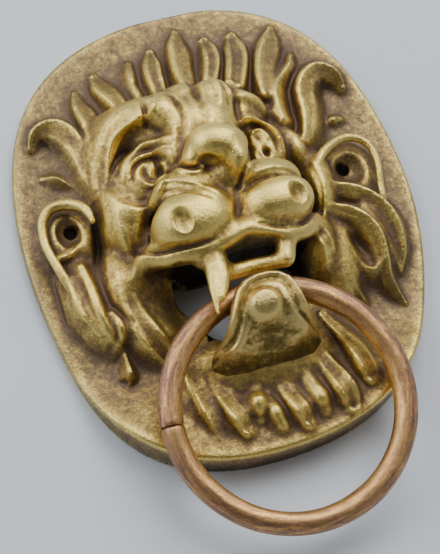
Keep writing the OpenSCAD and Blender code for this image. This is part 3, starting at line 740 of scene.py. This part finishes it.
def jaw_front(y):
    """Height of the jaw's front at each y, with the corners of its profile rounded off."""
    step, half = 0.5, 12
    rows = np.arange(-90, -20, step)
    rise = np.pad(np.interp(rows, *zip(*JAW_FRONT)), half, mode="edge")
    soft = bell(np.arange(-half, half + 1) * step, 0, 2.2)
    return np.interp(y, rows, np.convolve(rise, soft / soft.sum(), mode="valid"))


def make_jaw_clay():
    clay = Clay(JAW_LOW, JAW_HIGH, JAW_PITCH)
    x, y, z = clay.grid()
    edge = polygon_distance(JAW, x, y)
    inner = np.clip(-edge, 0, 6)
    top = jaw_front(y)
    # the foot rounds down to the brim
    foot = 1 - ease((y + 62) / 8)
    top = top * (1 - foot) + foot * (BRIM_Z + (top - BRIM_Z) * ease((inner + 0.6) / 6.5))
    # a rim round the edge, with a groove inside it
    top = top + ease((y + 66) / 10) * (0.9 * bell(inner, 1.2, 1.1) - 1.0 * bell(inner, 3.3, 1.2))
    # the boss, and a hollow below it
    boss = np.hypot(x - BOSS[0], y - BOSS[1])
    top = top + BOSS_LIFT * (1 - ease((boss - BOSS_R) / BOSS_R))
    top = top - 1.8 * bell(x, 1, 5.5) * bell(y, -60.5, 3.6)
    back = np.interp(y, *zip(*JAW_BACK))
    sheet = -smooth_min(-edge[:, :, None] * 0.98, -(z - top[:, :, None]) * 0.85, 2.4)
    clay.d = np.maximum(sheet, (back[:, :, None] - z) * 0.9)
    clay.d = np.maximum(clay.d, SEAT_Z - z).astype(np.float32)
    return clay


# ---------------------------------------------------------------- from clay to mesh

# What each point knows of the form round it: name, reach of the mean, distance it is clipped to
RELIEF = (("near", 1.0, 1.5), ("far", 3.6, 5.0))
# Valleys narrower than about twice this count as covered when a point's depth is taken
CLOSING = 7


def blurred(block, reach):
    """Mean over a box, twice along each axis."""
    for axis in (0, 1, 2, 0, 1, 2):
        pad = [(0, 0)] * 3
        pad[axis] = (reach + 1, reach)
        total = np.cumsum(np.pad(block, pad, mode="edge"), axis=axis, dtype=np.float64)
        n = total.shape[axis]
        high = np.take(total, range(2 * reach + 1, n), axis=axis)
        low = np.take(total, range(0, n - 2 * reach - 1), axis=axis)
        block = ((high - low) / (2 * reach + 1)).astype(np.float32)
    return block


def spread(field, reach, kind):
    """Running maximum or minimum over a square."""
    for axis in (0, 1):
        pad = [(0, 0), (0, 0)]
        pad[axis] = (reach, reach)
        wide = np.pad(field, pad, mode="edge")
        n = field.shape[axis]
        field = kind.reduce([np.take(wide, range(i, i + n), axis=axis) for i in range(2 * reach + 1)])
    return field


def sampled(block, points):
    """Values of a block at points between its cells."""
    base = [np.clip(points[:, k].astype(int), 0, block.shape[k] - 2) for k in range(3)]
    part = [points[:, k] - base[k] for k in range(3)]
    value = 0
    for corner in range(8):
        step = [corner >> k & 1 for k in range(3)]
        share = np.prod([part[k] if step[k] else 1 - part[k] for k in range(3)], axis=0)
        value = value + share * block[base[0] + step[0], base[1] + step[1], base[2] + step[2]]
    return value


def front_over(clay, points):
    """Height of the front over each point, with narrow valleys filled."""
    metal = clay.d < 0
    top = clay.axes[2][len(clay.axes[2]) - 1 - np.argmax(metal[:, :, ::-1], axis=2)]
    top = np.where(metal.any(axis=2), top, clay.low[2])
    reach = int(round(CLOSING / clay.pitch))
    closed = spread(spread(top, reach, np.maximum), reach, np.minimum)
    i, j = (np.clip(np.rint(points[:, k]).astype(int), 0, clay.d.shape[k] - 1) for k in (0, 1))
    return closed[i, j]


def largest_shell(points, quads):
    """Only the largest connected surface, without closed bubbles in the wall."""
    label = np.arange(len(points))
    while True:
        least = label[quads].min(axis=1)
        after = label.copy()
        for k in range(4):
            np.minimum.at(after, quads[:, k], least)
        after = after[after]
        if (after == label).all():
            break
        label = after
    values, counts = np.unique(label, return_counts=True)
    kept = label == values[np.argmax(counts)]
    number = np.cumsum(kept) - 1
    return points[kept], number[quads[kept[quads[:, 0]]]]


def write_values(mesh, label, values):
    """Gives a number to each point of a mesh, for its material."""
    layer = mesh.attributes.new(label, "FLOAT", "POINT")
    layer.data.foreach_set("value", np.ascontiguousarray(values.reshape(-1), dtype=np.float32))


def mesh_from(clay, name):
    """The clay's surface as a mesh. Each point knows how far it stands out and how deep it lies."""
    grid = openvdb.FloatGrid(FAR)
    grid.copyFromArray(np.ascontiguousarray(clay.d))
    points, _, quads = grid.convertToPolygons(isovalue=0.0, adaptivity=0.0)
    points, quads = largest_shell(points, quads)
    mesh = bpy.data.meshes.new(name)
    mesh.from_pydata(((points * clay.pitch + clay.low) * MM).tolist(), [], quads.tolist())
    mesh.polygons.foreach_set("use_smooth", np.ones(len(mesh.polygons), dtype=bool))
    for label, reach, limit in RELIEF:
        mean = blurred(np.clip(clay.d, -limit, limit), int(round(reach / clay.pitch)))
        write_values(mesh, label, sampled(mean, points))
    # depth under the closed front, which the material turns into painted shade
    deep = front_over(clay, points) - (points[:, 2] * clay.pitch + clay.low[2])
    write_values(mesh, "deep", deep)
    mesh.update()
    return link(name, mesh)


# ---------------------------------------------------------------- the ring

# Ring through the rod's centre, the rod, the slope at rest, and the angle and width of the butt
RING_D, ROD_D, DROP, BUTT, GAP = 79.4, 8.3, 9.5, 177.0, 0.5
TURNS, SIDES = 300, 40


def make_ring():
    """A rod bent to a ring and butted at the left, slightly uneven as hand work is."""
    gap = GAP / (np.pi * RING_D) * 360
    a = np.radians(BUTT + gap / 2 + np.linspace(0, 360 - gap, TURNS))
    b = np.linspace(0, 2 * np.pi, SIDES, endpoint=False)
    a, b = np.meshgrid(a, b, indexing="ij")
    r = ROD_D / 2 * (0.98 + 0.012 * np.sin(5 * a + 2 * b + 1) + 0.008 * np.sin(11 * a - b))
    # the sawn ends are slightly smaller, so that their edges are broken
    r[[0, -1]] *= 0.94
    across = RING_D / 2 + r * np.cos(b)
    x, y, z = across * np.cos(a), across * np.sin(a) - RING_D / 2, r * np.sin(b)
    c, s = np.cos(np.radians(DROP)), np.sin(np.radians(DROP))
    points = np.stack([x, y * c - z * s, y * s + z * c], axis=-1) + HINGE
    i, j = np.meshgrid(np.arange(TURNS - 1), np.arange(SIDES), indexing="ij")
    k = (j + 1) % SIDES
    corners = [i * SIDES + j, (i + 1) * SIDES + j, (i + 1) * SIDES + k, i * SIDES + k]
    faces = np.stack(corners, axis=-1).reshape(-1, 4)
    count = TURNS * SIDES
    caps = [list(range(SIDES)), list(range(count - 1, count - SIDES - 1, -1))]
    mesh = bpy.data.meshes.new("ring_rod")
    mesh.from_pydata((points.reshape(-1, 3) * MM).tolist(), [], faces.tolist() + caps)
    mesh.polygons.foreach_set("use_smooth", [True] * len(faces) + [False] * len(caps))
    for label, values in (("along", a), ("outward", np.cos(b)), ("forward", np.sin(b))):
        write_values(mesh, label, values)
    mesh.update()
    return link("ring_rod", mesh)


# ---------------------------------------------------------------- materials

# Brass from the hollows to the rubbed crests: dark, olive, gold, pale
MASK_TONES = ((0.15, 0.092, 0.052), (0.26, 0.178, 0.08), (0.52, 0.36, 0.10), (1.0, 0.77, 0.22))
JAW_TONES = ((0.10, 0.058, 0.024), (0.17, 0.12, 0.032), (0.26, 0.19, 0.06), (0.80, 0.61, 0.23))
BLOOM = (0.15, 0.09, 0.066)
LOW_BROWN = (0.16, 0.12, 0.088)
# Painted shade, nearly black, for metal lying deep inside the mouth, the hollow back and narrow valleys
PAINTED_SHADE = (0.012, 0.010, 0.010)
# The ring from its scale to the rubbed metal: purple brown, copper, bright, and its clouds
RING_TONES = ((0.24, 0.14, 0.12), (0.50, 0.27, 0.14), (0.90, 0.54, 0.20))
RING_CLOUD = (0.44, 0.27, 0.11)


class Nodes:
    """Short hand for building a node material."""

    def __init__(self, name):
        self.material = bpy.data.materials.new(name)
        self.material.use_nodes = True
        self.tree = self.material.node_tree
        self.shader = self.tree.nodes["Principled BSDF"]

    def put(self, socket, value):
        if isinstance(value, bpy.types.NodeSocket):
            self.tree.links.new(value, socket)
        elif isinstance(value, tuple) and len(value) == 3 and socket.type == "RGBA":
            socket.default_value = (*value, 1)
        else:
            socket.default_value = value

    def attribute(self, label):
        node = self.tree.nodes.new("ShaderNodeAttribute")
        node.attribute_name = label
        return node.outputs["Fac"]

    def place(self):
        return self.tree.nodes.new("ShaderNodeTexCoord").outputs["Object"]

    def axis(self, vector, name):
        node = self.tree.nodes.new("ShaderNodeSeparateXYZ")
        self.put(node.inputs[0], vector)
        return node.outputs[name]

    def vector(self, x, y, z):
        node = self.tree.nodes.new("ShaderNodeCombineXYZ")
        for socket, value in zip(node.inputs, (x, y, z)):
            self.put(socket, value)
        return node.outputs[0]

    def stretched(self, vector, scale):
        node = self.tree.nodes.new("ShaderNodeMapping")
        self.put(node.inputs["Vector"], vector)
        node.inputs["Scale"].default_value = scale
        return node.outputs[0]

    def noise(self, vector, scale, detail, rough=0.6):
        node = self.tree.nodes.new("ShaderNodeTexNoise")
        self.put(node.inputs["Vector"], vector)
        node.inputs["Scale"].default_value = scale
        node.inputs["Detail"].default_value = detail
        node.inputs["Roughness"].default_value = rough
        return node.outputs["Fac"]

    def math(self, kind, a, b, c=0.0):
        node = self.tree.nodes.new("ShaderNodeMath")
        node.operation = kind
        for socket, value in zip(node.inputs, (a, b, c)):
            self.put(socket, value)
        return node.outputs[0]

    def total(self, first, *others):
        for other in others:
            first = self.math("ADD", first, other)
        return first

    def span(self, value, low, high, bottom=0.0, top=1.0):
        """Maps low..high to bottom..top."""
        node = self.tree.nodes.new("ShaderNodeMapRange")
        for socket, v in zip(node.inputs, (value, low, high, bottom, top)):
            self.put(socket, v)
        return node.outputs[0]

    def mix(self, factor, a, b):
        node = self.tree.nodes.new("ShaderNodeMix")
        node.data_type = "RGBA"
        self.put(node.inputs["Factor"], factor)
        self.put(node.inputs[6], a)
        self.put(node.inputs[7], b)
        return node.outputs[2]

    def finish(self, colour, metallic, roughness):
        self.put(self.shader.inputs["Base Color"], colour)
        self.put(self.shader.inputs["Metallic"], metallic)
        self.put(self.shader.inputs["Roughness"], roughness)
        return self.material

    def bump(self, height, strength, distance):
        node = self.tree.nodes.new("ShaderNodeBump")
        node.inputs["Strength"].default_value = strength
        node.inputs["Distance"].default_value = distance
        self.put(node.inputs["Height"], height)
        self.put(self.shader.inputs["Normal"], node.outputs[0])


def brass_material(name, tones, bloom):
    """Aged cast brass, with a purple-brown bloom or without."""
    n = Nodes(name)
    dark, olive, gold, pale = tones
    place = n.place()
    fine = n.noise(place, 1500, 3)
    grain = n.noise(place, 600, 4, 0.7)
    blotch = n.noise(place, 230, 4, 0.65)
    cloud = n.noise(place, 70, 3)
    height = n.axis(place, "Z")
    # rubbed bright where it stands out, dark where it lies deep; the plate isn't darkened by
    # the relief over it
    far = n.math("MAXIMUM", n.attribute("far"), n.span(height, 0.0055, 0.012, -0.1, -4))
    worn = n.total(
        n.math("MULTIPLY_ADD", n.attribute("near"), 1.4, n.math("MULTIPLY", far, 0.30)),
        n.span(height, 0.012, 0.042, -0.12, 0.34),
        n.span(grain, 0.3, 0.7, -0.26, 0.26),
        n.span(cloud, 0.3, 0.7, -0.1, 0.1),
        n.span(blotch, 0.35, 0.65, -0.2, 0.16),
        0.42,
    )
    colour = n.mix(n.span(worn, 0.0, 0.35), dark, olive)
    colour = n.mix(n.span(worn, 0.3, 0.62), colour, gold)
    colour = n.mix(n.span(worn, 0.6, 1.05), colour, pale)
    if bloom:
        # speckled, and thickest on the plain plate
        speckle = n.total(n.math("MULTIPLY", fine, 0.5), n.math("MULTIPLY", cloud, 0.5))
        low_down = n.span(height, 0.007, 0.014, 0.55, 0.3)
        colour = n.mix(n.math("MULTIPLY", n.span(speckle, 0.44, 0.54), low_down), colour, BLOOM)
    colour = n.mix(n.span(height, 0.0045, 0.013, 0.42, 0), colour, LOW_BROWN)
    # painted shade: points lying deep under the closed front, inside the mouth, in the hollow back and in
    # narrow valleys, are darkened to nearly black
    colour = n.mix(n.span(n.attribute("deep"), 4.5, 14, 0, 0.96), colour, PAINTED_SHADE)
    n.bump(n.total(n.math("MULTIPLY", fine, 0.6), grain), 0.55, 0.00045)
    return n.finish(colour, n.span(worn, 0.1, 0.7, 0.7, 1.0), n.span(worn, 0.2, 1.0, 0.56, 0.35))


def ring_material():
    """Copper-brown rod with streaks drawn along it."""
    n = Nodes("ring_bronze")
    scale, copper, bright = RING_TONES
    outward = n.attribute("outward")
    rod_place = n.vector(n.attribute("along"), outward, n.attribute("forward"))
    place = n.place()
    streak = n.noise(n.stretched(rod_place, (3.5, 2.2, 2.2)), 1.6, 4, 0.65)
    hair = n.noise(n.stretched(rod_place, (5, 22, 22)), 1.0, 4, 0.7)
    grain = n.noise(place, 900, 3, 0.7)
    cloud = n.noise(place, 55, 3)
    # the rod is rubbed brighter inside the ring than at its outer edge
    tone = n.total(
        n.math("MULTIPLY", streak, 0.7),
        n.math("MULTIPLY", hair, 0.3),
        n.span(grain, 0.3, 0.7, -0.06, 0.06),
        n.span(outward, -0.4, 0.9, 0.05, -0.1),
    )
    colour = n.mix(n.span(tone, 0.34, 0.46), scale, copper)
    colour = n.mix(n.span(tone, 0.46, 0.60), colour, bright)
    colour = n.mix(n.span(cloud, 0.5, 0.62, 0, 0.5), colour, RING_CLOUD)
    n.bump(n.total(n.math("MULTIPLY", hair, 0.6), grain), 0.3, 0.0004)
    return n.finish(colour, 0.95, n.span(tone, 0.35, 0.65, 0.5, 0.34))


# ---------------------------------------------------------------- the scene


def make_studio():
    make_camera()
    make_world()
    area_light("key", (0.7, 1.0, 1.5), 28, (1, 0.985, 0.95))
    area_light("fill", (-1.25, 0.95, 1.0), 21, (1, 1, 1))
    make_floor()


def main():
    make_studio()
    mask = mesh_from(make_mask_clay(), "mask_casting")
    mask.data.materials.append(brass_material("mask_brass", MASK_TONES, bloom=True))
    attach(mask, "mask")
    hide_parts("lion_mask")
    jaw = mesh_from(make_jaw_clay(), "jaw_casting")
    jaw.data.materials.append(brass_material("jaw_brass", JAW_TONES, bloom=False))
    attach(jaw, "mask")
    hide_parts("lower_jaw")
    ring = make_ring()
    ring.data.materials.append(ring_material())
    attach(ring, "ring")
    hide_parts("ring")


main()
